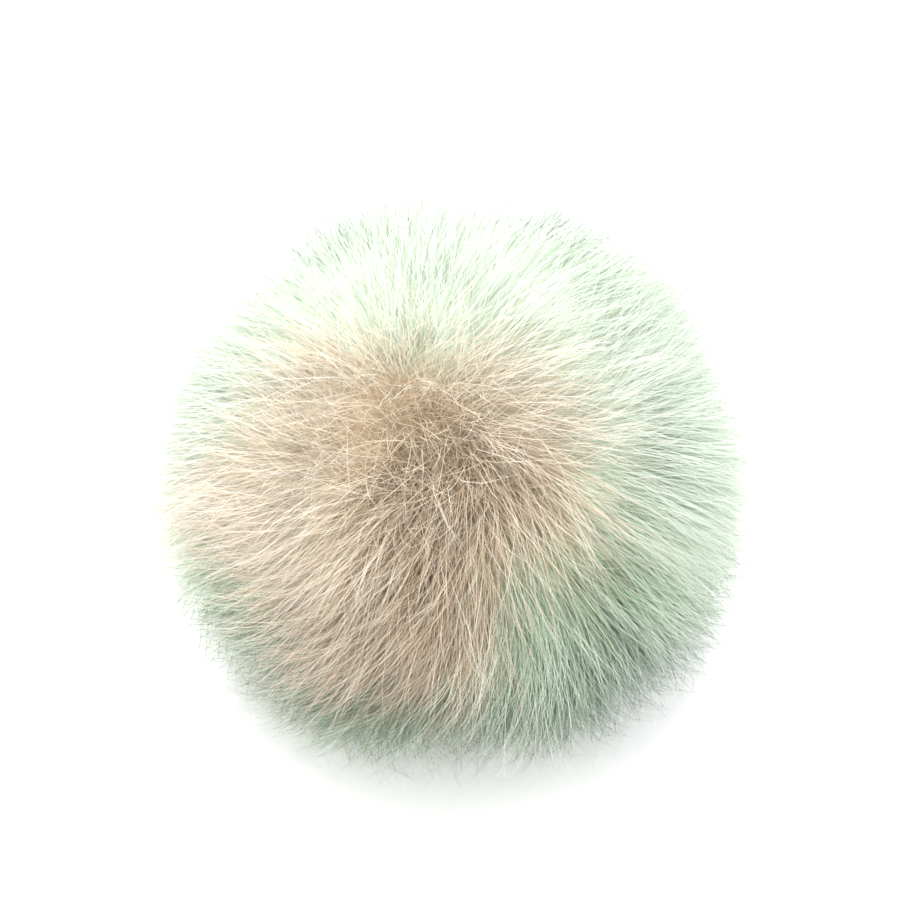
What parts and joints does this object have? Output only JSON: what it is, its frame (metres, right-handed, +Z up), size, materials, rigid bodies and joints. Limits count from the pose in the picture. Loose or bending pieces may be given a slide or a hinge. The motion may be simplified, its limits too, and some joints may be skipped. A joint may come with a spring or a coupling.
{
  "type": "fur pom pom",
  "caption": "Round pom pom of long dyed fur, drawn together into a ball, with its pile parting from one whorl and pressed short where it rests.",
  "frame": {"origin": "on the surface it rests on, under the middle of its outline", "axes": "+Z up, away from the surface; the fur's whorl faces -Y and about 42 degrees up"},
  "size_m": [0.1593, 0.1562, 0.1244],
  "materials": {
    "beige_fur": "matte",
    "mint_fur": "matte",
    "blue_grey_fur": "matte"
  },
  "bodies": {
    "root": {"pom_pom": "beige_fur"}
  },
  "joints": []
}
